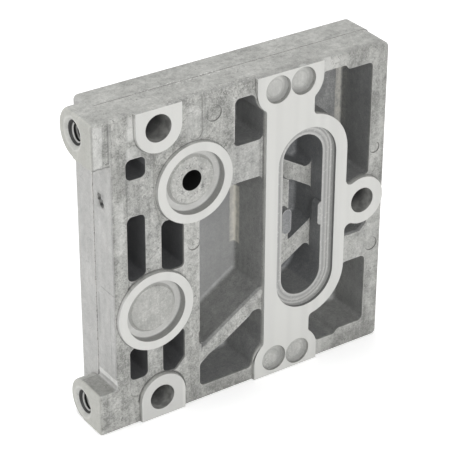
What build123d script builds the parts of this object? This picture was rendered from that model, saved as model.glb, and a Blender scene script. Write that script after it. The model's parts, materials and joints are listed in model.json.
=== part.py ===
# Die-cast end plate of a sectional hydraulic valve, one solid piece.
#
# The plate stands upright. Its machined mating face lies in the plane Y = 0 and
# looks towards -Y, the plain back lies at Y = plate_depth, and +Z is up. It is
# drawn with X = 0 on the line through the two left tie-bolt holes, and then set
# with its origin where the axis of the right tie-bolt hole meets the mating
# face. All sizes are in millimetres.
from build123d import *
import os
from math import cos, radians, tan

# Plate
plate_width = 97.0
plate_depth = 21.2
top = 51.6                  # above the axis of the right tie-bolt hole
bottom = -52.15
bolt_line = 15.25           # left edge to the line of the two left tie bolts
pad_height = 1.0            # machined pads above the as-cast front
corner_round = 1.6
top_right_round = 2.6
front_round = 0.25
top_front_round = 0.7
back_round = 1.1

# The two halves of the die meet here and draft away from each other
parting_depth = 11.0
side_draft = 0.8
back_left_step = -0.2       # the back half stands out a little on the left
back_right_step = 0.2
back_top_step = 0.05
back_bottom_step = 0.2
seam_width = 0.3
seam_depth = 0.25

# Tie-bolt holes
bolt_spacing = 90.6
bolt_a_radius = 4.3
bolt_b_radius = 4.2
bolt_c_radius = 4.2
bolt_c_reach = 73.2         # from the left bolt line to the single right bolt

# Machined pads
bolt_a_pad = (0.25, 7.65)   # shift along X from the hole, radius
bolt_b_pad = (0.5, 7.7)
bolt_c_pad_radius = 7.9
pad_wall_draft = 10.0
pad_root = 1.2              # how far a pad's foot is sunk into the casting

# Round seats
seat_outer_radius = 12.8
seat_inner_radius = 10.05
seat_depth = 2.8
seat_floor_round = 0.9
seat_plateau_radius = 7.3
seat_plateau_slope = 45.0
port_seat = (12.25, 24.3)
port_plateau_depth = 2.0
port_radius = 3.3
port_depth = 12.0
plug_seat = (-1.6, -14.3)
plug_plateau_depth = 2.0

# Tall pad with the obround cavity
neck_left = 37.0
neck_right = 54.0
cavity_x = 52.0
cavity_rise = 20.2          # half the distance between the end centres
cavity_pad_radius = 14.75
neck_fillet = 1.5
bolt_c_fillet = 2.0
ledge_radius = 10.6
ledge_depth = 2.3
ledge_floor_round = 0.5
cavity_radius = 7.3
cavity_floor = 16.0
cavity_floor_round = 1.2
well_corner = 2.0
web_face = 7.8              # depth of the sloping webs inside the cavity
webs = [                    # height at the centre line, slope, width along Z
    (13.05, -31.0, 5.9),
    (-13.6, 32.0, 6.7),
]
shelf_face = 5.2
shelf_width = 4.3
shelf_top = 15.0
shelf_bottom = -16.0
lug_face = 2.8              # the left lug stands free, the right one widens the ledge
left_lug_reach = 3.8
left_lug_z = -0.8
left_lug_height = 8.4
left_lug_width = 3.3
right_lug_z = -1.3
right_lug_height = 8.0
right_lug_reach = 1.2

# Blind discs cast into the ends of the tall pad: x, z, depth
disc_radius = 4.4
disc_pad_radius = 7.3
disc_outer_lift = 0.5
inner_disc_x = 40.95
outer_disc_x = 49.85
inner_disc_z = 46.3
upper_disc_depth = 1.5
lower_disc_depth = 1.0
disc_floor_round = 0.4

# Pockets between the ribs
pocket_floor = 16.0
pocket_draft = 1.2
soft_corner = 1.8
tight_corner = 1.4
small_corner = 0.9
floor_clearance = 0.14      # what a floor fillet leaves of the corner radius there
rim_top = 46.6
rim_bottom = -47.4
column_left = -10.15
column_right = -4.0
second_left = 1.3
second_right = 8.8
middle_left = 14.1
under_pad = 40.0            # pockets beside the tall pad are drawn to here, under its foot
upper_left = 26.4
rim_right = 76.0
rib_x = 33.0                # a point on the rib below the middle pocket
rib_z = -22.2
rib_slope = 0.65            # and the rib's rise per length
small_pocket = [(67.7, 0.0), (rim_right, 0.0), (rim_right, -9.4), (73.9, -11.6), (67.7, -11.6)]

# Shallow recesses of the cast front: depth, corner radius, outline
recess_slope = 30.0
recesses = [
    # along the left column of pockets
    (
        0.5,
        2.6,
        [
            (-10.6, 41.8),
            (-0.7, 41.8),
            (-0.7, 22.0),
            (1.7, 12.0),
            (1.7, -43.0),
            (-10.6, -43.0),
        ],
    ),
    # between the two pockets beside the tall pad
    (0.5, 0.6, [(25.9, 33.0), (38.0, 33.0), (38.0, 17.0), (25.9, 17.0)]),
    # tongue beside the upper bolt pad
    (0.25, 2.3, [(10.6, 54.0), (15.4, 54.0), (15.4, 37.4), (10.6, 37.4)]),
    # groove where the upper boss block meets the plate
    (0.3, 0.3, [(-17.0, 50.2), (-15.5, 50.2), (-15.5, 38.0), (-17.0, 38.0)]),
]
foot_groove_radius = 8.5    # around the top of the lower bolt pad
foot_groove_depth = 0.5

# Worn mouths of the middle pocket's lower edge and of the small pocket under
# the right bolt pad: depth, slope, how much wider than the pocket at that depth
mouth_steps = [(0.5, 62.0, 1.0), (1.5, 25.0, -0.1)]
mouth_start = 1.3           # from the middle pocket's left wall
mouth_inside = 5.0          # how far the mouth runs into the open pocket
mouth_left = 66.0           # hidden under the tall pad

# Side bosses with tapped holes, M8
boss_reach = 6.15           # from the left side to the boss face
boss_y = 11.0
boss_root = 2.0             # how far a boss is sunk into the plate
bosses = [                  # height of the half-round's centre, radius
    (44.8, 8.0),
    (-45.2, 7.35),
]
boss_round = 0.8
boss_step = 0.2
tap_y = 11.1
tap_heights = [45.0, -45.6]
tap_minor_radius = 3.4
tap_mouth_radius = 4.8
tap_depth = 13.0
drill_point_angle = 118.0

# Ejector-pin marks on the cast front: x, z, radius
pin_mark_depth = 0.3
pin_marks = [
    (31.4, 24.7, 2.7),
    (19.2, 44.4, 2.7),
    (-5.9, 24.8, 2.0),
    (-1.2, 8.3, 2.2),
    (12.2, 3.6, 2.1),
    (-0.8, -32.6, 2.0),
    (26.9, -25.4, 2.0),
    (78.2, -17.5, 2.4),
    (78.0, 16.5, 1.9),
]

# Casting pore on the left side: depth from the mating face, height
pore_radius = 1.0
pore = [(7.9, 24.5), (7.1, 23.5), (6.3, 22.6)]

over = 1.0                  # how far a cutter runs past the faces it goes through
slack = 0.01                # for finding faces by their depth
touching = 1e-5             # ends of edges closer than this are one corner

left = -bolt_line
right = left + plate_width
bolt_z = bolt_spacing / 2
cast_face = pad_height
front_half = parting_depth - cast_face
back_half = plate_depth - parting_depth
boss_face = left - boss_reach
boss_spans = [
    (max(z - radius, bottom), min(z + radius, top))
    for z, radius in bosses
]
pad_flare = pad_height * tan(radians(pad_wall_draft))
cavity_left = cavity_x - cavity_radius
cavity_right = cavity_x + cavity_radius
tap_point = tap_minor_radius / tan(radians(drill_point_angle / 2))
bolt_holes = [
    (0.0, bolt_z, bolt_a_radius),
    (0.0, -bolt_z, bolt_b_radius),
    (bolt_c_reach, 0.0, bolt_c_radius),
]
pocket_narrowing = floor_clearance + (pocket_floor - cast_face) * tan(radians(pocket_draft))
beyond = -bottom + 2 * pad_height + disc_pad_radius


def rib_line(x):
    """Height of the lower edge of the middle pocket."""
    return rib_z + rib_slope * (x - rib_x)


rib_start = middle_left + mouth_start
mouths = [
    [
        (rib_start, rib_line(rib_start)),
        (rib_start, rib_line(rib_start) + mouth_inside),
        (under_pad, rib_line(under_pad) + mouth_inside),
        (under_pad, rib_line(under_pad)),
    ],
    [(mouth_left, small_pocket[0][1])] + small_pocket[1:-1] + [(mouth_left, small_pocket[-1][1])],
]


def four_corners(x0, x1, z0, z1):
    """Corners of an upright rectangle."""
    return [(x0, z1), (x1, z1), (x1, z0), (x0, z0)]


# Pocket outlines at the cast front, before the pads are taken out of them,
# each with the radius of its corners
pocket_outlines = [
    # left column, from the top
    (soft_corner, four_corners(column_left, -3.6, 30.6, 37.2)),
    (soft_corner, four_corners(column_left, column_right, -2.6, 18.8)),
    (soft_corner, four_corners(column_left, column_right, -36.8, -22.0)),
    # second column
    (tight_corner, four_corners(second_left, second_right, -2.8, 14.4)),
    (
        tight_corner,
        [
            (second_left, -20.0),
            (second_right, -20.0),
            (second_right, -34.6),
            (5.6, -38.0),
            (second_left, -38.0),
        ],
    ),
    # left of the tall pad, from the top
    (
        soft_corner,
        [
            (upper_left, rim_top),
            (32.4, rim_top),
            (33.6, 45.4),
            (under_pad, 45.4),
            (under_pad, 31.05),
            (upper_left, 31.05),
        ],
    ),
    (
        soft_corner,
        [
            (middle_left, 19.0),
            (under_pad, 19.0),
            (under_pad, rib_line(under_pad)),
            (middle_left, rib_line(middle_left)),
        ],
    ),
    (
        soft_corner,
        [
            (middle_left, -39.4),
            (17.4, -36.7),
            (22.7, -34.3),
            (32.1, -28.3),
            (33.5, -26.8),
            (under_pad, -26.8),
            (under_pad, -45.6),
            (34.0, -45.6),
            (32.4, rim_bottom),
            (middle_left, rim_bottom),
        ],
    ),
    # right of the tall pad, from the top
    (
        tight_corner,
        [
            (50.0, 46.0),
            (57.2, 46.0),
            (58.4, 47.2),
            (66.0, 47.2),
            (67.1, 45.7),
            (rim_right, 45.7),
            (rim_right, 0.0),
            (50.0, 0.0),
        ],
    ),
    (small_corner, small_pocket),
    (
        soft_corner,
        [
            (50.0, -20.9),
            (rim_right, -20.9),
            (rim_right, -44.9),
            (66.2, -44.9),
            (65.0, -46.5),
            (50.0, -46.5),
        ],
    ),
]

mating_plane = Plane.XZ
cast_plane = Plane.XZ.offset(-cast_face)
parting_plane = Plane.XZ.offset(-parting_depth)


def at_depth(depth):
    """Plane parallel to the mating face at a depth behind it."""
    return Plane.XZ.offset(-depth)


def sharp_corners(sketch, smooth=12.0):
    """Vertices where two edges of the outline meet at more than a smooth joint."""
    found = []
    for vertex in sketch.vertices():
        tangents = []
        for edge in sketch.edges():
            if (edge @ 0 - Vector(vertex)).length < touching:
                tangents.append(edge % 0)
            if (edge @ 1 - Vector(vertex)).length < touching:
                tangents.append(edge % 1)
        if len(tangents) == 2 and abs(tangents[0].dot(tangents[1])) < cos(radians(smooth)):
            found.append(vertex)
    return found


def box_outline(x0, x1, z0, z1, mode=Mode.ADD):
    """Rectangle between two heights and two places along X."""
    with Locations(((x0 + x1) / 2, (z0 + z1) / 2)):
        Rectangle(x1 - x0, z1 - z0, mode=mode)


def disc_centres(side):
    """The two blind discs at one end of the tall pad."""
    return [
        (inner_disc_x, side * inner_disc_z),
        (outer_disc_x, side * (inner_disc_z + disc_outer_lift)),
    ]


def obround(radius, mode=Mode.ADD):
    """Upright obround on the cavity's centre line."""
    with Locations((cavity_x, 0)):
        SlotCenterToCenter(2 * cavity_rise, 2 * radius, rotation=90, mode=mode)


def cavity_webs(mode):
    """The sloping webs, drawn wider than the cavity."""
    for z, slope, height in webs:
        with Locations(Location((cavity_x, z), slope)):
            Rectangle(4 * cavity_radius, height * cos(radians(slope)), mode=mode)


def shelf(mode):
    """Low shelf along the left wall of the cavity, from one web to the other."""
    box_outline(cavity_left - over, cavity_left + shelf_width, shelf_bottom, shelf_top, mode)


def left_lug(mode):
    """Free lug on the shelf."""
    with Locations((cavity_left + left_lug_reach - left_lug_width / 2, left_lug_z)):
        SlotOverall(left_lug_height, left_lug_width, rotation=90, mode=mode)


def right_lug(mode):
    """Flat lug that widens the ledge on the right wall."""
    with Locations((cavity_right, right_lug_z)):
        SlotOverall(right_lug_height, 2 * right_lug_reach, rotation=90, mode=mode)


def edge_pad(x, z, radius):
    """Round pad with straight sides that run out over the nearer edge."""
    with Locations((x, z)):
        Circle(radius)
    end = beyond if z > 0 else -beyond
    box_outline(x - radius, x + radius, min(z, end), max(z, end))


# Pads: outlines at the mating face, run past the plate's edge where they are
# flush with it
with BuildSketch(mating_plane) as tall_pad:
    box_outline(neck_left, neck_right, -beyond, beyond)
    for side in (1, -1):
        for x, z in disc_centres(side):
            edge_pad(x, z, disc_pad_radius)
    obround(cavity_pad_radius)
    with Locations((bolt_c_reach, 0)):
        Circle(bolt_c_pad_radius)
    for low, high, radius in ((cavity_rise, inner_disc_z, neck_fillet), (0, cavity_rise, bolt_c_fillet)):
        fillet([v for v in sharp_corners(tall_pad) if low < abs(v.Y) < high], radius)

with BuildSketch(mating_plane) as small_pads:
    with Locations(port_seat, plug_seat):
        Circle(seat_outer_radius)
    edge_pad(bolt_a_pad[0], bolt_z, bolt_a_pad[1])
    edge_pad(bolt_b_pad[0], -bolt_z, bolt_b_pad[1])

with BuildSketch(cast_plane) as pad_feet:
    add(tall_pad.sketch_local)
    add(small_pads.sketch_local)
    offset(amount=pad_flare)

# The plate: two drafted halves, and the side bosses, straight in front of the
# parting plane and half-round behind it
with BuildPart() as envelope:
    with BuildSketch(parting_plane):
        box_outline(left, right, bottom, top)
        for low, high in boss_spans:
            box_outline(boss_face, left, low, high)
    extrude(amount=parting_depth, taper=side_draft)

with BuildPart() as casting:
    with BuildSketch(parting_plane) as front_outline:
        box_outline(left, right, bottom, top)
        corners = front_outline.vertices()
        last = corners.sort_by(Axis.X)[-2:].sort_by(Axis.Y)[-1]
        fillet([v for v in corners if v != last], corner_round)
        fillet(sharp_corners(front_outline), top_right_round)
        for low, high in boss_spans:
            box_outline(boss_face, left + 2 * corner_round, low, high)
        fillet(sharp_corners(front_outline), boss_round)
    extrude(amount=front_half, taper=side_draft)
    front_edges = casting.faces().filter_by_position(Axis.Y, cast_face - slack, cast_face + slack)
    fillet(front_edges[0].outer_wire().edges(), front_round)
    front_top = top - front_half * tan(radians(side_draft))
    with BuildSketch(Plane.YZ.offset(boss_face - over)):
        box_outline(0, cast_face + top_front_round, front_top - top_front_round, top + over)
        with Locations((cast_face + top_front_round, front_top - top_front_round)):
            Circle(top_front_round, mode=Mode.SUBTRACT)
    extrude(amount=right - top_right_round - boss_face + over, mode=Mode.SUBTRACT)

with BuildPart() as back_shell:
    with BuildSketch(parting_plane) as back_outline:
        box_outline(
            left + back_left_step,
            right - back_right_step,
            bottom + back_bottom_step,
            top - back_top_step,
        )
        fillet(back_outline.vertices(), corner_round)
    extrude(amount=-back_half, taper=side_draft)
    back_face = back_shell.faces().sort_by(Axis.Y)[-1]
    fillet(back_face.outer_wire().edges(), back_round)

with BuildPart() as boss_backs:
    with BuildSketch(Plane.YZ.offset(boss_face + boss_step)):
        for z, radius in bosses:
            with Locations((boss_y, z)):
                Circle(radius - boss_step)
        box_outline(0, plate_depth, bottom + boss_step, top - boss_step, Mode.INTERSECT)
    extrude(amount=boss_reach + boss_root)
    fillet(boss_backs.faces().sort_by(Axis.X)[:2].edges(), boss_round)
    split(bisect_by=parting_plane, keep=Keep.BOTTOM)

# Fine groove along the parting plane
with BuildPart() as seam:
    with BuildSketch(parting_plane):
        box_outline(boss_face - over, right + over, bottom - over, top + over)
        low_seam = bottom + seam_depth
        high_seam = top - seam_depth
        box_outline(left + seam_depth, right - seam_depth, low_seam, high_seam, Mode.SUBTRACT)
        for low, high in boss_spans:
            low_end = max(low, low_seam)
            high_end = min(high, high_seam)
            box_outline(boss_face - 2 * over, left + over, low_end, high_end, Mode.SUBTRACT)
    extrude(amount=-seam_width)

with BuildPart() as pads:
    with BuildSketch(cast_plane):
        add(pad_feet.sketch_local)
    extrude(amount=pad_height, taper=pad_wall_draft)
    with BuildSketch(cast_plane):
        add(pad_feet.sketch_local)
    extrude(amount=-pad_root)
    add(envelope.part, mode=Mode.INTERSECT)

with BuildPart() as pockets:
    for corner, outline in pocket_outlines:
        with BuildSketch(cast_plane) as pocket:
            with BuildLine():
                Polyline(*outline, close=True)
            make_face()
            add(pad_feet.sketch_local, mode=Mode.SUBTRACT)
            fillet(sharp_corners(pocket), corner)
        extrude(amount=-(pocket_floor - cast_face), taper=pocket_draft)
        floor = pockets.faces(Select.LAST).sort_by(Axis.Y)[-1]
        fillet(floor.edges(), corner - pocket_narrowing)

with BuildPart() as hollows:
    for depth, corner, outline in recesses:
        with BuildSketch(cast_plane) as recess:
            with BuildLine():
                Polyline(*outline, close=True)
            make_face()
            fillet(recess.vertices(), corner)
        extrude(amount=-depth, taper=recess_slope)
    with BuildSketch(cast_plane):
        with Locations((bolt_b_pad[0], -bolt_z)):
            Circle(foot_groove_radius)
        box_outline(column_left, middle_left, -bolt_z, 0, Mode.INTERSECT)
    extrude(amount=-foot_groove_depth, taper=recess_slope)
    for x, z, radius in pin_marks:
        with BuildSketch(cast_plane):
            with Locations((x, z)):
                Circle(radius)
        extrude(amount=-pin_mark_depth)
    for outline in mouths:
        for depth, slope, wider in mouth_steps:
            with BuildSketch(cast_plane):
                with BuildLine():
                    Polyline(*outline, close=True)
                make_face()
                offset(amount=depth * tan(radians(slope)) + wider, kind=Kind.INTERSECTION)
                add(pad_feet.sketch_local, mode=Mode.SUBTRACT)
            extrude(amount=-depth, taper=slope)

with BuildPart() as seats:
    for centre in (port_seat, plug_seat):
        with BuildSketch(mating_plane):
            with Locations(centre):
                Circle(seat_inner_radius)
        extrude(amount=-seat_depth)
    floors = seats.faces().filter_by_position(Axis.Y, seat_depth - slack, seat_depth + slack)
    fillet(floors.edges(), seat_floor_round)
    for centre, plateau_depth in ((port_seat, port_plateau_depth), (plug_seat, plug_plateau_depth)):
        with BuildSketch(at_depth(plateau_depth)):
            with Locations(centre):
                Circle(seat_plateau_radius)
        extrude(amount=-(seat_depth - plateau_depth), taper=-seat_plateau_slope, mode=Mode.SUBTRACT)

with BuildPart() as ledge:
    with BuildSketch(mating_plane):
        obround(ledge_radius)
    extrude(amount=-ledge_depth)
    fillet(ledge.faces().sort_by(Axis.Y)[-1].edges(), ledge_floor_round)

# The cavity steps down: round the right lug, round both lugs, round the shelf,
# and last the three wells between the webs
with BuildPart() as cavity:
    with BuildSketch(at_depth(ledge_depth)):
        obround(cavity_radius)
        right_lug(Mode.SUBTRACT)
    extrude(amount=-(lug_face - ledge_depth))
    with BuildSketch(at_depth(lug_face)):
        obround(cavity_radius)
        right_lug(Mode.SUBTRACT)
        left_lug(Mode.SUBTRACT)
    extrude(amount=-(shelf_face - lug_face))
    with BuildSketch(at_depth(shelf_face)):
        obround(cavity_radius)
        shelf(Mode.SUBTRACT)
        cavity_webs(Mode.ADD)
        obround(cavity_radius, Mode.INTERSECT)
    extrude(amount=-(web_face - shelf_face))
    with BuildSketch(at_depth(web_face)) as wells:
        obround(cavity_radius)
        shelf(Mode.SUBTRACT)
        cavity_webs(Mode.SUBTRACT)
        fillet(sharp_corners(wells), well_corner)
    extrude(amount=-(cavity_floor - web_face), taper=pocket_draft)
    floors = cavity.faces().filter_by_position(Axis.Y, cavity_floor - slack, cavity_floor + slack)
    fillet(floors.edges(), cavity_floor_round)

with BuildPart() as discs:
    for side, depth in ((1, upper_disc_depth), (-1, lower_disc_depth)):
        with BuildSketch(mating_plane):
            with Locations(*disc_centres(side)):
                Circle(disc_radius)
        extrude(amount=-depth)
        floors = discs.faces().filter_by_position(Axis.Y, depth - slack, depth + slack)
        fillet(floors.edges(), disc_floor_round)

with BuildPart() as taps:
    for tap_z in tap_heights:
        with BuildSketch(Plane.XZ.offset(-tap_y)):
            with BuildLine():
                Polyline(
                    (boss_face - over, tap_z),
                    (boss_face - over, tap_z + tap_mouth_radius + over),
                    (boss_face, tap_z + tap_mouth_radius),
                    (boss_face + tap_mouth_radius - tap_minor_radius, tap_z + tap_minor_radius),
                    (boss_face + tap_depth, tap_z + tap_minor_radius),
                    (boss_face + tap_depth + tap_point, tap_z),
                    close=True,
                )
            make_face()
        revolve(axis=Axis((0, tap_y, tap_z), (1, 0, 0)))

with BuildPart() as drawn:
    add(casting.part)
    add(back_shell.part)
    add(boss_backs.part)
    add(pockets.part, mode=Mode.SUBTRACT)
    add(seam.part, mode=Mode.SUBTRACT)
    add(hollows.part, mode=Mode.SUBTRACT)
    add(pads.part)
    add(seats.part, mode=Mode.SUBTRACT)
    add(ledge.part, mode=Mode.SUBTRACT)
    add(cavity.part, mode=Mode.SUBTRACT)
    add(discs.part, mode=Mode.SUBTRACT)
    add(taps.part, mode=Mode.SUBTRACT)
    for x, z, radius in bolt_holes:
        with Locations(Plane.XZ.location * Location((x, z, 0))):
            Hole(radius)
    with BuildSketch(mating_plane):
        with Locations(port_seat):
            Circle(port_radius)
    extrude(amount=-port_depth, mode=Mode.SUBTRACT)
    for y, z in pore:
        with Locations((left, y, z)):
            Sphere(pore_radius, mode=Mode.SUBTRACT)

with BuildPart() as end_plate:
    add(drawn.part.moved(Location((-bolt_c_reach, 0, 0))))

os.makedirs("parts", exist_ok=True)
end_plate.part.label = "end_plate"
export_step(end_plate.part, "parts/end_plate.step")
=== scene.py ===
# %% [markdown]
# # A die-cast valve end plate
#
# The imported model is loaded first. It is the frame for everything here: one
# solid, `end_plate`, that rides on the body `root`. Its mating face lies in the
# plane Y = 0 and looks towards -Y, and +Z is up. Nothing in this lesson moves it
# or changes its mesh.

# %% Load the frame
import json
import math

import bpy
from mathutils import Euler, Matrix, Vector


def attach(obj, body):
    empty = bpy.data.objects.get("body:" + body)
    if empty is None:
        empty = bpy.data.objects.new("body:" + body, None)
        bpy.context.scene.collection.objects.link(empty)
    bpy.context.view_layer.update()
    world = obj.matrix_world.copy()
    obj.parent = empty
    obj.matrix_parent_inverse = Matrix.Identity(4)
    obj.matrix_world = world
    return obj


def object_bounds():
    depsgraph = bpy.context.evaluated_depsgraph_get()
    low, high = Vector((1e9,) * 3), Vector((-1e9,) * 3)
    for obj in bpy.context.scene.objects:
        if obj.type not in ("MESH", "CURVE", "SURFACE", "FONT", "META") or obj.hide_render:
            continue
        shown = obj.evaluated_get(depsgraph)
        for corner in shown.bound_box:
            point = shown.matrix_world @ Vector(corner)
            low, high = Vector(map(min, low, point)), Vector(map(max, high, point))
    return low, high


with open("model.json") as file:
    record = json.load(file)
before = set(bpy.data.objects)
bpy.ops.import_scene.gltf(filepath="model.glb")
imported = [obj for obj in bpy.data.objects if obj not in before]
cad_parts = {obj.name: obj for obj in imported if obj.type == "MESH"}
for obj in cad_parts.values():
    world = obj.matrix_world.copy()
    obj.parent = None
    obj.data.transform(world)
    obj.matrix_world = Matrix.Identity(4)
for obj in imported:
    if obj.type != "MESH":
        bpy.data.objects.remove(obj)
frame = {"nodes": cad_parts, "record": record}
cad_low, cad_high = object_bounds()
plate = frame["nodes"]["end_plate"]
bpy.ops.object.select_all(action="DESELECT")
print("plate box, mm:", [round(1000 * v, 1) for v in (*cad_low, *cad_high)])

# %% [markdown]
# ## Where things are
#
# The record that came with the model names every interface: three tie-bolt
# holes, the port and the two threaded holes of the side bosses. Reading their
# places and radii from there keeps this script in step with the solid. All
# lengths are in metres, so a millimetre is written as `MM`.

# %% Places taken from the record
MM = 0.001
mounts = {mount["name"]: mount for mount in frame["record"]["mounts"]}


def place(name):
    """A mount's point in the plate's frame."""
    return Vector(mounts[name]["pos_m"])


def radius(name):
    """A round mount's radius in metres."""
    return mounts[name]["dims"]["r_mm"] * MM


bolts = ["tie_bolt_upper_left", "tie_bolt_lower_left", "tie_bolt_right"]
threads = ["side_thread_upper", "side_thread_lower"]
for name in bolts + threads + ["port"]:
    print(name, [round(1000 * v, 1) for v in place(name)], "radius", round(1000 * radius(name), 2))

# %% [markdown]
# ## Thread ridges
#
# The side bosses are tapped. A thread is one ridge that climbs along the hole's
# wall, so a small triangle is drawn on the wall and a Screw modifier carries it
# round the axis and forward by one pitch a turn. Cutting grooves into the
# casting would change its mesh, and a ridge that stands on the core hole looks
# the same from outside.

# %% Model the thread ridges
THREAD_PITCH = 1.25 * MM
THREAD_DEPTH = 0.62 * MM
THREAD_TURNS = 8
THREAD_START = 5.2 * MM       # from the mount's point out towards the mouth
STEPS_PER_TURN = 48


def add_thread(name, mount):
    """Helical ridge on the wall of a tapped hole whose axis runs along X."""
    centre = place(mount)
    half = THREAD_PITCH / 2
    wall = radius(mount)
    bpy.ops.mesh.primitive_circle_add(
        vertices=3, radius=half, location=(0, 0, 0), rotation=(math.pi / 2, 0, 0)
    )
    ridge = bpy.context.object
    bpy.ops.object.transform_apply(location=False, rotation=True, scale=False)
    corners = [(-half, wall), (half, wall), (0, wall - THREAD_DEPTH)]
    for vertex, (along, out) in zip(ridge.data.vertices, corners):
        vertex.co = (along, 0, out)
    screw = ridge.modifiers.new("Turns", "SCREW")
    screw.axis = "X"
    screw.screw_offset = THREAD_PITCH
    screw.iterations = THREAD_TURNS
    screw.steps = STEPS_PER_TURN
    screw.render_steps = STEPS_PER_TURN
    screw.use_merge_vertices = False
    bpy.ops.object.modifier_apply(modifier=screw.name)
    bpy.ops.object.mode_set(mode="EDIT")
    bpy.ops.mesh.select_mode(type="EDGE")
    bpy.ops.mesh.select_all(action="DESELECT")
    bpy.ops.mesh.select_non_manifold()
    bpy.ops.mesh.fill()
    bpy.ops.mesh.select_all(action="SELECT")
    bpy.ops.mesh.normals_make_consistent(inside=False)
    bpy.ops.object.mode_set(mode="OBJECT")
    ridge.location = centre - Vector((THREAD_START, 0, 0))
    bpy.ops.object.transform_apply(location=True, rotation=False, scale=False)
    bpy.ops.object.shade_smooth_by_angle(angle=math.radians(35))
    ridge.name = name
    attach(ridge, "root")
    bpy.ops.object.select_all(action="DESELECT")
    print(name, len(ridge.data.vertices), "vertices")
    return ridge


ridges = [add_thread("thread_upper", threads[0]), add_thread("thread_lower", threads[1])]

# %% [markdown]
# ## Masks
#
# One casting carries several finishes. The skin is as cast, while pads, seats
# and holes are machined. The finish follows the place on the solid, so it is
# chosen by masks that read Object coordinates: near an axis, inside a box, in
# front of a plane. Each kind of mask is a small shader node group with named
# sockets, built once and placed with its own values.

# %% Helpers for node groups
FLOAT = "NodeSocketFloat"
VECTOR = "NodeSocketVector"
COLOUR = "NodeSocketColor"


def new_group(name, inputs, outputs):
    """Empty shader node group with named sockets, and its two end nodes."""
    group = bpy.data.node_groups.new(name, "ShaderNodeTree")
    for label, kind, value in inputs:
        socket = group.interface.new_socket(label, in_out="INPUT", socket_type=kind)
        if value is not None:
            socket.default_value = value
    for label, kind in outputs:
        group.interface.new_socket(label, in_out="OUTPUT", socket_type=kind)
    return group, group.nodes.new("NodeGroupInput"), group.nodes.new("NodeGroupOutput")


def math_node(tree, operation, *values, clamp=False):
    """Math node whose inputs are sockets or plain numbers."""
    node = tree.nodes.new("ShaderNodeMath")
    node.operation = operation
    node.use_clamp = clamp
    for slot, value in zip(node.inputs, values):
        if isinstance(value, (int, float)):
            slot.default_value = value
        else:
            tree.links.new(value, slot)
    return node.outputs[0]


def ramp(tree, value, low, high):
    """Value carried to 0 at low and 1 at high, and held outside them."""
    node = tree.nodes.new("ShaderNodeMapRange")
    node.interpolation_type = "SMOOTHSTEP"
    for label, number in (("Value", value), ("From Min", low), ("From Max", high)):
        if isinstance(number, (int, float)):
            node.inputs[label].default_value = number
        else:
            tree.links.new(number, node.inputs[label])
    return node.outputs["Result"]


# %% Mask for a round area
round_area, start, end = new_group(
    "Round area",
    [
        ("Position", VECTOR, None),
        ("Centre X", FLOAT, 0.0),
        ("Centre Z", FLOAT, 0.0),
        ("Half rise", FLOAT, 0.0),
        ("Radius", FLOAT, 0.01),
        ("Softness", FLOAT, 0.0002),
    ],
    [("Mask", FLOAT), ("Distance", FLOAT)],
)
split = round_area.nodes.new("ShaderNodeSeparateXYZ")
round_area.links.new(start.outputs["Position"], split.inputs[0])
across = math_node(round_area, "SUBTRACT", split.outputs["X"], start.outputs["Centre X"])
rise = math_node(round_area, "SUBTRACT", split.outputs["Z"], start.outputs["Centre Z"])
rise = math_node(round_area, "ABSOLUTE", rise)
rise = math_node(round_area, "SUBTRACT", rise, start.outputs["Half rise"])
rise = math_node(round_area, "MAXIMUM", rise, 0.0)
across = math_node(round_area, "MULTIPLY", across, across)
distance = math_node(round_area, "SQRT", math_node(round_area, "MULTIPLY_ADD", rise, rise, across))
inside = math_node(round_area, "SUBTRACT", start.outputs["Radius"], distance)
inside = math_node(round_area, "DIVIDE", inside, start.outputs["Softness"])
inside = math_node(round_area, "ADD", inside, 0.5, clamp=True)
round_area.links.new(inside, end.inputs["Mask"])
round_area.links.new(distance, end.inputs["Distance"])
print("group:", round_area.name, "with", len(round_area.nodes), "nodes")

# %% Mask for a block in space
space_box, start, end = new_group(
    "Space box",
    [
        ("Position", VECTOR, None),
        ("Centre", VECTOR, None),
        ("Half size", VECTOR, None),
        ("Softness", FLOAT, 0.001),
    ],
    [("Mask", FLOAT)],
)


def vector_node(tree, operation, *values):
    """Vector math node whose inputs are sockets."""
    node = tree.nodes.new("ShaderNodeVectorMath")
    node.operation = operation
    for slot, value in zip(node.inputs, values):
        tree.links.new(value, slot)
    return node.outputs[0]


off = vector_node(space_box, "SUBTRACT", start.outputs["Position"], start.outputs["Centre"])
off = vector_node(space_box, "ABSOLUTE", off)
margin = vector_node(space_box, "SUBTRACT", start.outputs["Half size"], off)
split = space_box.nodes.new("ShaderNodeSeparateXYZ")
space_box.links.new(margin, split.inputs[0])
nearest = math_node(space_box, "MINIMUM", split.outputs["X"], split.outputs["Y"])
nearest = math_node(space_box, "MINIMUM", nearest, split.outputs["Z"])
inside = math_node(space_box, "DIVIDE", nearest, start.outputs["Softness"])
inside = math_node(space_box, "ADD", inside, 0.5, clamp=True)
space_box.links.new(inside, end.inputs["Mask"])
print("group:", space_box.name)

# %% [markdown]
# ## Cast skin
#
# Die-cast aluminium has a grey skin. It is never even: soft clouds lie over it,
# the metal's flow leaves streaks along the plate's height, and the die's worn
# surface prints fine mottles. Each of these is a noise at its own size. They are
# added to one brightness value between a dark and a light grey, and the mottles
# also lift the surface a little. A finer noise gives small bright points, which
# are painted glints.

# %% Cast skin group
cast_skin, start, end = new_group(
    "Cast skin",
    [
        ("Position", VECTOR, None),
        ("Light", COLOUR, (0.5, 0.5, 0.5, 1)),
        ("Dark", COLOUR, (0.4, 0.4, 0.4, 1)),
        ("Contrast", FLOAT, 1.0),
    ],
    [("Color", COLOUR), ("Height", FLOAT), ("Points", FLOAT)],
)


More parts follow.
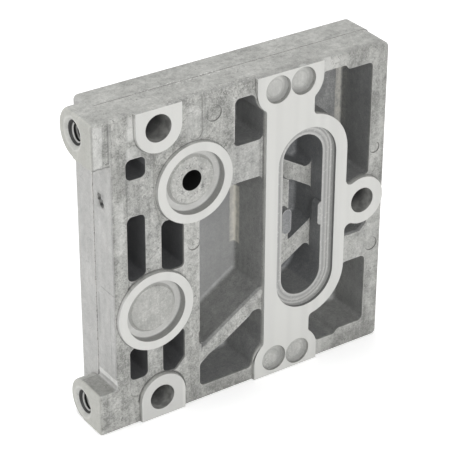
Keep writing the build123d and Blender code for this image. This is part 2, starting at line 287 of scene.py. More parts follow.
def noise(tree, position, scale, detail=3.0, roughness=0.55, distortion=0.0):
    """Noise texture on a position, returning its value."""
    node = tree.nodes.new("ShaderNodeTexNoise")
    node.inputs["Scale"].default_value = scale
    node.inputs["Detail"].default_value = detail
    node.inputs["Roughness"].default_value = roughness
    node.inputs["Distortion"].default_value = distortion
    tree.links.new(position, node.inputs["Vector"])
    return node.outputs["Fac"]


def stretched(tree, position, scale):
    """Position scaled differently along each axis."""
    node = tree.nodes.new("ShaderNodeMapping")
    node.inputs["Scale"].default_value = scale
    tree.links.new(position, node.inputs["Vector"])
    return node.outputs["Vector"]


spot = start.outputs["Position"]
PATCH_SCALE = 45
CLOUD_SCALE = 190
MOTTLE_SCALE = 700
GRAIN_SCALE = 2200
STREAK_SCALE = 520
FLOW_SCALE = 230
FLOW_PLACES_SCALE = 190
GLINT_SCALE = 1500
patches = noise(cast_skin, spot, PATCH_SCALE, 1.0)
clouds = noise(cast_skin, spot, CLOUD_SCALE, 2.0, distortion=0.5)
mottles = noise(cast_skin, spot, MOTTLE_SCALE, 2.0, distortion=1.0)
grain = noise(cast_skin, spot, GRAIN_SCALE, 1.0)
streaks = noise(cast_skin, stretched(cast_skin, spot, (1, 1, 0.1)), STREAK_SCALE, 2.0)
value = 0.52                  # between the dark and the light grey
for part, weight in ((patches, 0.9), (clouds, 1.1), (streaks, 0.9), (mottles, 1.0), (grain, 0.9)):
    centred = math_node(cast_skin, "SUBTRACT", part, 0.5)
    centred = math_node(cast_skin, "MULTIPLY", centred, start.outputs["Contrast"])
    value = math_node(cast_skin, "MULTIPLY_ADD", centred, weight, value)

flow = noise(cast_skin, spot, FLOW_SCALE, 1.0, distortion=2.0)
flow = math_node(cast_skin, "ABSOLUTE", math_node(cast_skin, "SUBTRACT", flow, 0.5))
flow_lines = ramp(cast_skin, flow, 0.014, 0.004)
flow_places = ramp(cast_skin, noise(cast_skin, spot, FLOW_PLACES_SCALE, 1.0), 0.54, 0.60)
flow_lines = math_node(cast_skin, "MULTIPLY", flow_lines, flow_places)
flow_lines = math_node(cast_skin, "MULTIPLY", flow_lines, start.outputs["Contrast"])
value = math_node(cast_skin, "MULTIPLY_ADD", flow_lines, -0.6, value)

mix = cast_skin.nodes.new("ShaderNodeMix")
mix.data_type = "RGBA"
cast_skin.links.new(value, mix.inputs["Factor"])
cast_skin.links.new(start.outputs["Dark"], mix.inputs["A"])
cast_skin.links.new(start.outputs["Light"], mix.inputs["B"])
height = math_node(cast_skin, "MULTIPLY_ADD", mottles, 0.7, grain)
# Painted glints: small bright points where a fine noise peaks.
glints = ramp(cast_skin, noise(cast_skin, spot, GLINT_SCALE, 1.0), 0.60, 0.68)
cast_skin.links.new(mix.outputs["Result"], end.inputs["Color"])
cast_skin.links.new(height, end.inputs["Height"])
cast_skin.links.new(glints, end.inputs["Points"])
print("group:", cast_skin.name, "with", len(cast_skin.nodes), "nodes")

# %% [markdown]
# ## The plate's material
#
# The material starts from the cast skin and goes on in the order in which the
# casting is worked. First come broad tones, dark specks, painted shade in corners
# and pockets and painted highlights on edges and fillets. Then the machined places
# lie on top: milled pads, turned seats, drilled and tapped holes, with painted
# shade and highlights of their own. Masks choose between them, and one Principled
# shader shows the result.
#
# The renderer has little memory for one material. It works out every mask that
# it can before it mixes a colour, and with this many masks it would run out and
# leave the plate black. The helper `after` adds almost nothing of the colour so
# far to a position. The masks that read that position then have to wait, so only
# one stage of them is held at a time.

# %% Start the material
SKIN_LIGHT = (0.55, 0.55, 0.525, 1)
SKIN_DARK = (0.20, 0.202, 0.19, 1)

finish = bpy.data.materials.new("Cast and machined aluminium")
finish.use_nodes = True
tree = finish.node_tree
shader = tree.nodes["Principled BSDF"]
where = tree.nodes.new("ShaderNodeTexCoord").outputs["Object"]
facing = tree.nodes.new("ShaderNodeSeparateXYZ")
tree.links.new(tree.nodes.new("ShaderNodeNewGeometry").outputs["Normal"], facing.inputs[0])


def moved(amount, scale):
    """Position shaken by a noise, so that a mask's edge gets ragged."""
    shake = tree.nodes.new("ShaderNodeTexNoise")
    shake.inputs["Scale"].default_value = scale
    shake.inputs["Detail"].default_value = 2.0
    tree.links.new(where, shake.inputs["Vector"])
    offset = tree.nodes.new("ShaderNodeVectorMath")
    offset.operation = "MULTIPLY_ADD"
    tree.links.new(shake.outputs["Color"], offset.inputs[0])
    offset.inputs[1].default_value = (2 * amount, 2 * amount, 2 * amount)
    offset.inputs[2].default_value = (-amount, -amount, -amount)
    total = tree.nodes.new("ShaderNodeVectorMath")
    tree.links.new(where, total.inputs[0])
    tree.links.new(offset.outputs[0], total.inputs[1])
    return total.outputs[0]


def turned_to_side():
    """Position with X and Y exchanged, so that a round mask can lie on the left side."""
    apart = tree.nodes.new("ShaderNodeSeparateXYZ")
    tree.links.new(where, apart.inputs[0])
    again = tree.nodes.new("ShaderNodeCombineXYZ")
    for source, target in (("Y", "X"), ("X", "Y"), ("Z", "Z")):
        tree.links.new(apart.outputs[source], again.inputs[target])
    return again.outputs[0]


ragged = moved(0.9 * MM, 260)
shaky = moved(0.35 * MM, 700)
from_side = turned_to_side()


def area(group, output="Mask", position=None, **values):
    """A mask group placed in the material, with its own values."""
    node = tree.nodes.new("ShaderNodeGroup")
    node.node_tree = group
    tree.links.new(where if position is None else position, node.inputs["Position"])
    for label, value in values.items():
        node.inputs[label.replace("_", " ")].default_value = value
    return node.outputs[output]


def around(centre, reach, softness=0.2 * MM, output="Mask"):
    """Mask of a disc around a point of the front."""
    return area(round_area, output, Centre_X=centre.x, Centre_Z=centre.z, Radius=reach, Softness=softness)


def block(x, y, z, soft=0.2, position=None):
    """Mask of a block, from its ranges along X, Y and Z in millimetres."""
    middle = [(low + high) / 2 * MM for low, high in (x, y, z)]
    half = [(high - low) / 2 * MM for low, high in (x, y, z)]
    return area(space_box, position=position, Centre=middle, Half_size=half, Softness=soft * MM)


def above(depth, soft=0.05):
    """Mask of what lies in front of a depth in millimetres."""
    return block((-120, 20), (-20, depth), (-80, 80), soft)


def both(*masks):
    """Where all masks are on."""
    result = masks[0]
    for mask in masks[1:]:
        result = math_node(tree, "MULTIPLY", result, mask)
    return result


def either(*masks):
    """Where any mask is on."""
    result = masks[0]
    for mask in masks[1:]:
        result = math_node(tree, "MAXIMUM", result, mask)
    return result


def without(mask):
    """Where the mask is off."""
    return math_node(tree, "SUBTRACT", 1.0, mask)


def paint(mask, below, over, amount=1.0):
    """Colour over laid on colour below through a mask."""
    if amount != 1.0:
        mask = math_node(tree, "MULTIPLY", mask, amount)
    node = tree.nodes.new("ShaderNodeMix")
    node.data_type = "RGBA"
    tree.links.new(mask, node.inputs["Factor"])
    for slot, colour in (("A", below), ("B", over)):
        if isinstance(colour, tuple):
            node.inputs[slot].default_value = colour
        else:
            tree.links.new(colour, node.inputs[slot])
    return node.outputs["Result"]


NEARLY_NOTHING = 1e-9


def after(colour, *positions):
    """The same positions, but worked out only once the colour so far is known."""
    waiting = []
    for position in positions:
        node = tree.nodes.new("ShaderNodeVectorMath")
        node.operation = "MULTIPLY_ADD"
        tree.links.new(colour, node.inputs[0])
        node.inputs[1].default_value = (NEARLY_NOTHING, NEARLY_NOTHING, NEARLY_NOTHING)
        tree.links.new(position, node.inputs[2])
        waiting.append(node.outputs[0])
    return waiting


front_side = ramp(tree, facing.outputs["Y"], -0.5, -0.9)
left_side = ramp(tree, facing.outputs["X"], -0.5, -0.9)
top_side = ramp(tree, facing.outputs["Z"], 0.5, 0.9)
steep = ramp(tree, math_node(tree, "ABSOLUTE", facing.outputs["Y"]), 0.85, 0.35)
contrast = math_node(tree, "MULTIPLY_ADD", front_side, 0.5, 0.7)
skin = tree.nodes.new("ShaderNodeGroup")
skin.node_tree = cast_skin
tree.links.new(where, skin.inputs["Position"])
tree.links.new(contrast, skin.inputs["Contrast"])
skin.inputs["Light"].default_value = SKIN_LIGHT
skin.inputs["Dark"].default_value = SKIN_DARK
colour = skin.outputs["Color"]
print("material started:", finish.name)

# %% [markdown]
# The skin has places of its own. Some parts of the front are lighter and others
# are darker. Each is a block, given by its ranges along X, Y and Z in millimetres.
# Their edges are shaken so that none looks drawn with a ruler.

# %% Bright and dull places of the skin
BRIGHT = (0.70, 0.70, 0.68, 1)
DULL = (0.17, 0.17, 0.16, 1)
# Dark specks, and also painted shade in corners and along steps.
DIRT_AND_SHADE = (0.09, 0.09, 0.088, 1)
SIDE_TINT = (0.50, 0.495, 0.495, 1)
BLACK = (0.014, 0.014, 0.014, 1)
BOSS_TINT = (0.47, 0.47, 0.43, 1)
FACE = (-3, 1.6)

bright_places = [
    ((-58, -37), FACE, (19.5, 31), 2.5, 0.35),
    ((-94.3, -90.9), FACE, (37.8, 50.4), 0.8, 0.45),
    ((-82.6, -78.2), FACE, (36.2, 40.8), 1.2, 0.75),
    ((-82.6, -79.6), FACE, (43.5, 50.5), 1.0, 0.50),
    ((-63.2, -57.6), FACE, (37.5, 48), 1.0, 0.30),
    ((-87.5, -84.5), FACE, (8, 25), 1.5, 0.30),
    ((-66, -60), FACE, (-3, 3), 1.5, 0.25),
    ((-2, 9), FACE, (-24, -6), 2.0, 0.20),
]
dull_places = [
    ((-9, 9), FACE, (-52, 52), 3.0, 0.25),
    ((-59, -36), FACE, (-37, -16), 2.5, 0.25),
    ((-90, -83.5), FACE, (27, 36), 2.0, 0.30),
    ((-60, -36), FACE, (47.5, 53), 1.2, 0.20),
    ((-80, 9), FACE, (-53, -47), 1.0, 0.20),
    ((-70, 6), (-3, 3.0), (50.8, 53), 1.2, 0.30),
]
for x, y, z, soft, amount in bright_places:
    colour = paint(block(x, y, z, soft, ragged), colour, BRIGHT, amount)
where, ragged, shaky, from_side = after(colour, where, ragged, shaky, from_side)
for x, y, z, soft, amount in dull_places:
    colour = paint(block(x, y, z, soft, ragged), colour, DULL, amount)
where, ragged, shaky, from_side = after(colour, where, ragged, shaky, from_side)
colour = paint(both(left_side, block((-92, -85), (-1, 22), (-60, 60))), colour, SIDE_TINT, 0.4)
# Painted shade: the top face of the lower boss block is made darker.
boss_top = both(top_side, block((-95, -88.2), (-1, 12), (-40, -33), 0.3))
colour = paint(boss_top, colour, DULL, 0.45)
boss_faces = block((-96, -94.0), (-1, 22), (-60, 60), 0.4)
colour = paint(boss_faces, colour, BOSS_TINT, 0.6)
print("bright places:", len(bright_places), "dull places:", len(dull_places))

# %% [markdown]
# Thin dark lines of painted shade mark the edges of recesses and of the boss
# blocks, and a few zones of the front are speckled with dark dots and with bright
# dots that are painted glints. Lines are blocks a few tenths of a millimetre wide,
# and the dots are the peaks of fine noises.

# %% Lines and speckles
DOT_SCALE = 1300
shade_lines = [
    ((-90.75, -90.55), FACE, (38.5, 50.5), 0.45),
    ((-89.1, -88.95), FACE, (37.5, 50.5), 0.40),
    ((-88.1, -87.95), FACE, (36, 50.8), 0.40),
    ((-94.5, -93.9), (-1, 1.2), (34, 51), 0.35),
    ((-94.5, -93.9), (-1, 1.2), (-51, -36), 0.25),
    ((-94.2, -88.6), FACE, (37.1, 37.6), 0.60),
    ((-88.7, -87.9), FACE, (-34, 34), 0.30),
    ((-83.2, -82.9), FACE, (-33, 33), 0.45),
    ((-57.9, -57.6), FACE, (36, 48), 0.35),
    ((-63.2, -62.9), FACE, (38, 47), 0.30),
    ((-37.6, -37.2), FACE, (19, 31.5), 0.35),
    ((-90, -87), (9.6, 9.9), (-22, -8), 0.45),
    ((-90, -87), (1.5, 8.5), (-5.6, -5.3), 0.50),
    ((-90, -87), (3.5, 3.8), (-30, -12), 0.30),
]
where, ragged, shaky, from_side = after(colour, where, ragged, shaky, from_side)
# Painted shade along the edges of recesses, boss blocks and the parting line.
for x, y, z, amount in shade_lines:
    colour = paint(block(x, y, z, 0.3, shaky), colour, DIRT_AND_SHADE, amount)
where, ragged, shaky, from_side = after(colour, where, ragged, shaky, from_side)
dark_dots = ramp(tree, noise(tree, where, DOT_SCALE, 1.0), 0.56, 0.64)
glint_dots = skin.outputs["Points"]
speckled = either(
    block((-62, -37), FACE, (45.5, 52), 1.5, ragged),
    block((-58, -37), FACE, (18, 22.5), 1.0, ragged),
    block((-70, -38), (-3, 3.5), (50.5, 53), 1.0, ragged),
    block((-59, -40), FACE, (-36, -26), 1.5, ragged),
)
colour = paint(both(speckled, dark_dots), colour, DIRT_AND_SHADE, 0.30)
# Painted glints in the speckled zones.
colour = paint(both(speckled, glint_dots), colour, BRIGHT, 0.45)
print("lines:", len(shade_lines))

# %% [markdown]
# Ambient Occlusion tells how far a point is shut in by its surroundings. With a
# reach of half a millimetre it finds the narrow corners, which get painted shade:
# the feet of pads and rings, the parting line and the ejector-pin marks. Looked at
# from inside the metal, it finds the outer edges, which get a painted highlight.
# With a reach of 1.8 mm it finds the fillets deep in the right-hand pockets, which
# get a pale painted highlight. The pockets get painted shade, and some of their
# floors painted light.

# %% Painted shade in pockets and corners, painted highlights on edges and fillets
EDGE = (0.62, 0.62, 0.605, 1)
POCKET_SHADE = (0.150, 0.156, 0.168, 1)
POCKET_DEEP_SHADE = (0.07, 0.07, 0.072, 1)
POCKET_LIT = (0.225, 0.228, 0.232, 1)
POCKET_FLOOR_LIGHT = (0.33, 0.332, 0.33, 1)
CREAM = (0.80, 0.77, 0.68, 1)
SEAM = (0.90, 0.90, 0.88, 1)
FILLET = (0.52, 0.52, 0.51, 1)
WEB = (0.34, 0.34, 0.325, 1)
CORNER_REACH = 0.5 * MM
FILLET_REACH = 1.8 * MM
SEAT_RADIUS = 10.05 * MM
SEAT_PLATEAU = 7.3 * MM
PLUG_SEAT = Vector((-74.8, 0, -14.3)) * MM


def shut_in(reach, open_value, shut_value, inside=False):
    """1 in a corner, or on an outer edge if looked at from inside, 0 on a plain face."""
    node = tree.nodes.new("ShaderNodeAmbientOcclusion")
    node.samples = 12
    node.only_local = True
    node.inside = inside
    node.inputs["Distance"].default_value = reach
    return ramp(tree, node.outputs["AO"], open_value, shut_value)


where, ragged, shaky, from_side = after(colour, where, ragged, shaky, from_side)
seat_discs = [around(centre, SEAT_RADIUS + 0.2 * MM) for centre in (place("port"), PLUG_SEAT)]
inside_rim = block((-84.2, 3.2), (1.7, 30), (-48.2, 47.4), 0.5)
in_pocket = both(inside_rim, without(either(*seat_discs)))
# Painted shade over the pockets, keeping a little of the skin's mottles.
pocket_shade = paint(skin.outputs["Height"], POCKET_SHADE, skin.outputs["Color"], 0.3)
colour = paint(in_pocket, colour, pocket_shade)

# Painted shade, darker in the small left-hand pockets.
small_pockets = both(block((-84.3, -59.8), (1.7, 30), (-40, 34), 0.4), in_pocket)
colour = paint(small_pockets, colour, POCKET_DEEP_SHADE, 0.55)
cavity_space = block((-32.5, -10.5), (0, 30), (-26, 26), 0.5)
right_pockets = both(block((-60, 3.4), (1.7, 30), (-48.5, 48), 0.5), without(cavity_space))
# Painted light and shade in the right-hand pockets: a lit copy of the pocket tone.
lit = paint(skin.outputs["Height"], POCKET_LIT, skin.outputs["Color"], 0.5)
colour = paint(right_pockets, colour, lit, 0.65)
# Painted light: the lower right pockets and the centre pocket get part of the skin's tone back.
lower_right = block((-10, 3), (1.7, 30), (-48, -15), 1)
colour = paint(both(right_pockets, lower_right), colour, skin.outputs["Color"], 0.35)
centre_pocket = block((-59.5, -36), (1.7, 30), (-34, 20), 0.5)
colour = paint(centre_pocket, colour, skin.outputs["Color"], 0.35)
# Painted light on the centre pocket's floor, with painted shade on its upper part.
pocket_floor = both(centre_pocket, without(steep))
colour = paint(pocket_floor, colour, POCKET_FLOOR_LIGHT, 0.7)
floor_shade = block((-50, -30), (1.7, 30), (0, 30), 12)
colour = paint(both(pocket_floor, floor_shade), colour, POCKET_LIT, 0.6)

where, ragged, shaky, from_side = after(colour, where, ragged, shaky, from_side)
webs = both(block((-32.5, -10.5), (4, 10.5), (-26, 26), 0.4), without(steep))
colour = paint(webs, colour, paint(skin.outputs["Height"], WEB, skin.outputs["Color"], 0.8))
colour = paint(both(webs, dark_dots), colour, DIRT_AND_SHADE, 0.3)
# Painted highlights, cream, on the floor-to-wall fillets of two right-hand pockets.
for x, z in (((-38.1, -36.5), (-10, 9.5)), ((0.7, 2.2), (18, 46))):
    colour = paint(block(x, (13.4, 15.9), z, 0.7, shaky), colour, CREAM, 0.85)

where, ragged, shaky, from_side = after(colour, where, ragged, shaky, from_side)
# Painted highlight on the outer edges.
edges = shut_in(CORNER_REACH, 0.90, 0.45, inside=True)
colour = paint(edges, colour, EDGE, 0.4)
# Painted shade in narrow corners, weaker on the left side and the top.
corners = shut_in(CORNER_REACH, 0.97, 0.60)
corner_amount = math_node(tree, "MULTIPLY_ADD", either(left_side, top_side), -0.45, 0.75)
left_seam = block((-92, -80), (10.6, 11.8), (-34, 37), 0.2)
colour = paint(both(corners, corner_amount, without(left_seam)), colour, DIRT_AND_SHADE)
# Painted light in the parting groove on the left side, against its shade.
seam_line = block((-92, -80), (10.98, 11.32), (-36, 38), 0.05)
colour = paint(both(seam_line, without(dark_dots)), colour, SEAM, 0.5)
# Painted highlight on the fillet where the lower boss block meets the left side.
colour = paint(block((-89.2, -88.2), (-1, 11.0), (-36.2, -34.6), 0.4, shaky), colour, SEAM, 0.55)
# Painted glints along the parting line on the top.
seam_glints = block((-76, -44), (9.8, 12.2), (50.5, 53), 0.8, ragged)
colour = paint(both(seam_glints, glint_dots), colour, SEAM, 0.5)
# Painted highlight on the fillets deep in the right-hand pockets.
deep_places = block((-60, 3), (9, 16.2), (-50, 50))
fillets = both(shut_in(FILLET_REACH, 0.82, 0.58), right_pockets, deep_places)
colour = paint(fillets, colour, FILLET, 0.5)
# Painted light on the steep walls of raised rings and pads, which lie in shade.
raised_walls = both(steep, above(0.95), block((-86, 10), (-3, 2), (-50, 50)))
colour = paint(raised_walls, colour, BRIGHT, 0.25)
print("nodes so far:", len(tree.nodes))

# %% [markdown]
# The machined places come last. A seat is a turned ring around a plateau that
# kept its skin, with painted shade on its wall and a painted highlight at its foot.
# The ledge of the cavity shows fine lines from the cutter, a bolt hole gets painted
# shade that darkens with its depth, and a tapped hole gets black painted shade
# between painted highlights on its ridges.

# %% Seats
MILLED = (0.66, 0.66, 0.635, 1)
MILLED_DULL = (0.58, 0.58, 0.56, 1)
TURNED = (0.56, 0.56, 0.54, 1)
PLATEAU = (0.46, 0.46, 0.44, 1)
WALL = (0.16, 0.16, 0.158, 1)
SEAT_DEPTH = 3.0

where, ragged, shaky, from_side = after(colour, where, ragged, shaky, from_side)
turned = paint(glint_dots, TURNED, MILLED, 0.5)
turned = paint(skin.outputs["Height"], turned, WALL, 0.15)
plateau = paint(skin.outputs["Height"], PLATEAU, skin.outputs["Color"], 0.8)
shallow = above(SEAT_DEPTH)
for centre, sparkle in ((place("port"), 0.5), (PLUG_SEAT, 0.15)):
    where, ragged, shaky, from_side = after(colour, where, ragged, shaky, from_side)
    disc = both(shallow, around(centre, SEAT_RADIUS))
    colour = paint(both(disc, without(corners)), colour, paint(glint_dots, plateau, BRIGHT, sparkle))
    ring = both(disc, without(around(centre, SEAT_PLATEAU + 0.4 * MM, 0.5 * MM)))
    colour = paint(ring, colour, turned)
    x, z = centre.x / MM, centre.z / MM
    # Painted highlight at the foot of the seat's wall, on its lower left.
    foot = block((x - 8, x + 5), (1, 3), (z - 10, z - 5), 2.0, ragged)
    colour = paint(both(ring, foot, without(steep)), colour, BRIGHT, 0.8)
    # Painted shade on the seat's steep wall.
    colour = paint(both(ring, steep), colour, WALL, 0.8)
    # Painted shade in the corner at the plateau's edge.
    plateau_edge = around(centre, SEAT_PLATEAU - 0.3 * MM, 0.3 * MM)
    colour = paint(both(plateau_edge, shallow, corners), colour, DIRT_AND_SHADE, 0.3)
where, ragged, shaky, from_side = after(colour, where, ragged, shaky, from_side)
dot_ring = both(
    around(place("port"), 5.4 * MM, 0.5 * MM), without(around(place("port"), 4.0 * MM, 0.5 * MM))
)
colour = paint(both(shallow, dot_ring, dark_dots), colour, DIRT_AND_SHADE, 0.6)
colour = paint(block((-80, -66), (-1, 0.04), (-53, -36), 0.3), colour, MILLED_DULL, 0.3)
print("seats painted")

# %% Cavity ledge and blind discs
CAVITY_X = -21.2 * MM
CAVITY_RISE = 20.2 * MM
LEDGE_RADIUS = 10.8 * MM
LEDGE_DEPTH = 2.5
LEDGE_DULL = (0.42, 0.42, 0.41, 1)
DISC_SKIN = (0.56, 0.56, 0.54, 1)
DISC_RADIUS = 4.35 * MM
DISCS = ((-32.25, 46.3), (-23.35, 46.8), (-32.25, -46.3), (-23.35, -46.8))
cutter_lines = [                # distance from the cavity's axis, width, shade
    (10.2, 0.3, MILLED),
    (9.75, 0.3, WALL),
    (9.2, 0.35, MILLED),
    (8.4, 0.4, WALL),
    (7.6, 0.4, MILLED),
]

where, ragged, shaky, from_side = after(colour, where, ragged, shaky, from_side)
mouth = area(round_area, Centre_X=CAVITY_X, Half_rise=CAVITY_RISE, Radius=LEDGE_RADIUS)
ledge = both(mouth, above(LEDGE_DEPTH))
colour = paint(ledge, colour, paint(glint_dots, LEDGE_DULL, MILLED, 0.5))
# Painted shade on the ledge's steep wall.
colour = paint(both(ledge, steep, above(1.0)), colour, WALL)
reach = area(round_area, "Distance", Centre_X=CAVITY_X, Half_rise=CAVITY_RISE)
for line, width, shade in cutter_lines:
    off = math_node(tree, "ABSOLUTE", math_node(tree, "SUBTRACT", reach, line * MM))
    colour = paint(both(ledge, ramp(tree, off, width * MM, 0.0)), colour, shade, 0.4)
where, ragged, shaky, from_side = after(colour, where, ragged, shaky, from_side)
disc_skin = paint(skin.outputs["Height"], DISC_SKIN, skin.outputs["Color"], 0.5)
disc_bands = [
    (block((-38, -13), (0.4, 1.7), (40, 52)), 1.0),
    (block((-38, -13), (0.4, 1.7), (-52, -40)), 0.7),
]
for band, amount in disc_bands:
    colour = paint(both(band, without(corners), without(steep)), colour, disc_skin, amount)
for (x, z), amount in zip(DISCS, (0.45, 0.45, 0.35, 0.35)):
    where, ragged, shaky, from_side = after(colour, where, ragged, shaky, from_side)
    whole = both(around(Vector((x, 0, z)) * MM, DISC_RADIUS), block((-40, -10), (0.25, 1.7), (-53, 53)))
    # Painted shade: a dark crescent on each blind disc outside its lit part.
    lit_part = around(Vector((x - 0.6, 0, z + 0.5)) * MM, 3.5 * MM, 0.9 * MM)
    colour = paint(both(whole, without(lit_part)), colour, WALL, amount)
    middle = Vector((x - 0.3, 0, z)) * MM
    inner = both(around(middle, 2.9 * MM, 0.3 * MM), without(around(middle, 2.5 * MM, 0.3 * MM)))
    colour = paint(both(whole, inner), colour, WALL, 0.2)
print("ledge lines and blind discs")

# %% Holes
HOLE_LIGHT = (0.50, 0.50, 0.48, 1)
HOLE_DARK = (0.035, 0.035, 0.037, 1)
BORE_SCALE = 380
TAP_COUNTERSINK = 5.2 * MM
TAP_MOUTH = 3.8 * MM
TAP_CREST = 3.05 * MM

where, ragged, shaky, from_side = after(colour, where, ragged, shaky, from_side)
depth = tree.nodes.new("ShaderNodeSeparateXYZ")
tree.links.new(ragged, depth.inputs[0])
# Painted shade in the bolt holes, darker with their depth.
deeper = ramp(tree, depth.outputs["Y"], 1.0 * MM, 10 * MM)
bore = paint(deeper, HOLE_LIGHT, HOLE_DARK)
bore = paint(ramp(tree, noise(tree, where, BORE_SCALE, 2.0), 0.35, 0.65), bore, HOLE_DARK, 0.45)
holes = either(*[around(place(name), radius(name) + 0.1 * MM, 0.1 * MM) for name in bolts])
colour = paint(holes, colour, bore)
port_hole = around(place("port"), radius("port") + 0.1 * MM, 0.1 * MM)
# Painted shade: the port is black beyond its first two millimetres.
colour = paint(both(port_hole, without(above(2.05))), colour, BLACK)
# Each tapped hole gets a painted highlight on its countersink, black painted shade in its mouth and
# painted highlights on its thread crests.
for name in threads:
    where, ragged, shaky, from_side = after(colour, where, ragged, shaky, from_side)
    tap = place(name)
    for reach, softness, shade, amount in (
        (TAP_COUNTERSINK, 0.6 * MM, BRIGHT, 0.35),
        (TAP_MOUTH, 0.15 * MM, BLACK, 1.0),
        (TAP_CREST, 0.2 * MM, BRIGHT, 0.9),
    ):
        ring = area(
            round_area, position=from_side, Centre_X=tap.y, Centre_Z=tap.z, Radius=reach, Softness=softness
        )
        colour = paint(both(ring, block((-96, -80), (-1, 22), (-60, 60))), colour, shade, amount)
print("holes: three bolt holes, the port and two tapped holes")

# %% [markdown]
# Gas left one pore in the left side. Its hollow is in the solid, 2 mm wide and
# shallow, so light still reaches its floor. Its shade is painted black with two
# small blocks that follow its slant, and a soft zone of painted shade lies around it.

# %% Pore in the left side
colour = paint(block((-92, -80), (5.6, 9.0), (21.4, 26.4), 1.6, ragged), colour, BLACK, 0.35)
for across, up in (((7.0, 8.6), (23.6, 25.7)), ((5.9, 7.5), (22.0, 24.3))):
    colour = paint(block((-92, -80), across, up, 0.5), colour, BLACK, 0.95)

# %% [markdown]
# The pads were milled last, in one plane, so a thin slice at Y = 0 finds them
# all. The cutter leaves faint bands along the plate's height. They are a noise
# that is stretched along Z. The back, which the photo doesn't show, then gets
# its plain skin again, because the masks of the pockets reach through to it.

# %% Milled pads
BAND_SCALE = 230
where, ragged, shaky, from_side = after(colour, where, ragged, shaky, from_side)
milled = above(0.04, 0.04)
bands = noise(tree, stretched(tree, where, (1, 1, 0.04)), BAND_SCALE, 1.0)
pad = paint(ramp(tree, bands, 0.40, 0.62), MILLED, MILLED_DULL, 0.35)
pad = paint(block((-80, -66), (-1, 1), (-53, -36), 0.3), pad, MILLED_DULL, 0.8)
colour = paint(milled, colour, pad)

# %% Plain back
back_side = ramp(tree, facing.outputs["Y"], 0.5, 0.9)
colour = paint(back_side, colour, skin.outputs["Color"])

# %% [markdown]
# A Principled shader shows the result. Cast aluminium looks like a dull grey
# skin and not like a mirror, so Metallic stays at 0 and the roughness is plain.
# The mottles and the grain of the skin also lift it a little, as a bump.

# %% Connect the shader
tree.links.new(colour, shader.inputs["Base Color"])
shader.inputs["Metallic"].default_value = 0.0
shader.inputs["Roughness"].default_value = 0.5
bump = tree.nodes.new("ShaderNodeBump")
bump.inputs["Distance"].default_value = 0.06 * MM
bump.inputs["Strength"].default_value = 0.5
tree.links.new(skin.outputs["Height"], bump.inputs["Height"])
tree.links.new(bump.outputs["Normal"], shader.inputs["Normal"])
plate.data.materials.clear()
plate.data.materials.append(finish)
for ridge in ridges:
    ridge.data.materials.append(finish)
print("nodes in the material:", len(tree.nodes))

# %% [markdown]
# ## Floor, light and camera
#
# The plate stands on its lower edge on a pale floor. The background is made
# white for the camera with Light Path, which puts no light on the plate. The
# floor only gets a glow for the camera, on top of the light it receives, so it
# turns white and still keeps the plate's shadow.

# %% Floor
FLOOR_SIZE = 8.0
FLOOR_GLOW = 0.5
bpy.ops.mesh.primitive_plane_add(size=FLOOR_SIZE, location=(0, 0, cad_low.z))
floor = bpy.context.object
floor.name = "floor"
pale = bpy.data.materials.new("Pale floor")
pale.use_nodes = True
floor_tree = pale.node_tree
floor_shader = floor_tree.nodes["Principled BSDF"]
floor_shader.inputs["Base Color"].default_value = (0.8, 0.8, 0.8, 1)
floor_shader.inputs["Roughness"].default_value = 0.9
floor_shader.inputs["Emission Color"].default_value = (1, 1, 1, 1)
floor.data.materials.append(pale)
bpy.ops.object.select_all(action="DESELECT")


def seen_directly(node_tree):
    """1 for camera, glossy and transmission rays, 0 for the light's own paths."""
    path = node_tree.nodes.new("ShaderNodeLightPath")
    seen = math_node(node_tree, "MAXIMUM", path.outputs["Is Camera Ray"], path.outputs["Is Glossy Ray"])
    return math_node(node_tree, "MAXIMUM", seen, path.outputs["Is Transmission Ray"])


glow = math_node(floor_tree, "MULTIPLY", seen_directly(floor_tree), FLOOR_GLOW)
floor_tree.links.new(glow, floor_shader.inputs["Emission Strength"])

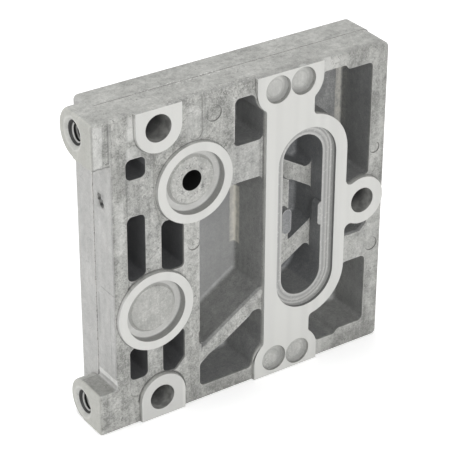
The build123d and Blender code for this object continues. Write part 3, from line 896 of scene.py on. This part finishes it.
# %% Room
ROOM_LIGHT = 0.32
world = bpy.data.worlds.new("Room")
bpy.context.scene.world = world
world.use_nodes = True
room_tree = world.node_tree
room = room_tree.nodes["Background"]
room.inputs["Color"].default_value = (1, 1, 1, 1)
room.inputs["Strength"].default_value = ROOM_LIGHT
white = room_tree.nodes.new("ShaderNodeBackground")
white.inputs["Color"].default_value = (1, 1, 1, 1)
white.inputs["Strength"].default_value = 1.0
choose = room_tree.nodes.new("ShaderNodeMixShader")
room_tree.links.new(seen_directly(room_tree), choose.inputs[0])
room_tree.links.new(room.outputs[0], choose.inputs[1])
room_tree.links.new(white.outputs[0], choose.inputs[2])
room_tree.links.new(choose.outputs[0], room_tree.nodes["World Output"].inputs["Surface"])

# %% [markdown]
# Three soft lamps light the three sides that the camera sees. The front lamp
# stands almost square to the pockets, so their floors are bright and their
# walls are not. The other two stand behind the plane of the front and graze it,
# so they light the left side and the top without reaching into the pockets.

# %% Lamps
def add_lamp(name, location, target, size, power):
    """Large square area lamp aimed at a point."""
    bpy.ops.object.light_add(type="AREA", location=location)
    lamp = bpy.context.object
    lamp.name = name
    lamp.data.size = size
    lamp.data.energy = power
    lamp.rotation_euler = (Vector(target) - Vector(location)).to_track_quat("-Z", "Y").to_euler()
    return lamp


centre = (cad_low + cad_high) / 2
add_lamp("front_lamp", (-0.15, -1.1, 0.35), centre, 0.5, 6.6)
add_lamp("left_lamp", (-1.1, 0.15, 0.25), centre, 0.5, 4.9)
add_lamp("top_lamp", (-0.05, 0.20, 1.1), centre, 0.5, 6.0)
bpy.ops.object.select_all(action="DESELECT")

# %% [markdown]
# The camera was fitted to the straight edges and holes that the photo shows. Its
# place, turn and lens are the result of that fit.

# %% Camera
CAMERA_PLACE = Vector((-329.41, -413.46, 292.97)) * MM
CAMERA_AZIMUTH = math.radians(-34.061)
CAMERA_ELEVATION = math.radians(29.890)
CAMERA_ROLL = math.radians(0.263)
CAMERA_LENS = 154.97
bpy.ops.object.camera_add(location=CAMERA_PLACE)
camera = bpy.context.object
camera.data.lens = CAMERA_LENS
camera.data.sensor_width = 36.0
camera.data.clip_end = 20.0
aim = Euler((math.pi / 2 - CAMERA_ELEVATION, 0, CAMERA_AZIMUTH), "XYZ").to_quaternion()
roll = Euler((0, 0, CAMERA_ROLL), "XYZ").to_quaternion()
camera.rotation_euler = (aim @ roll).to_euler()
bpy.context.scene.camera = camera
bpy.context.scene.view_settings.view_transform = "Standard"
bpy.ops.object.select_all(action="DESELECT")
print("camera at", [round(v, 4) for v in camera.location])
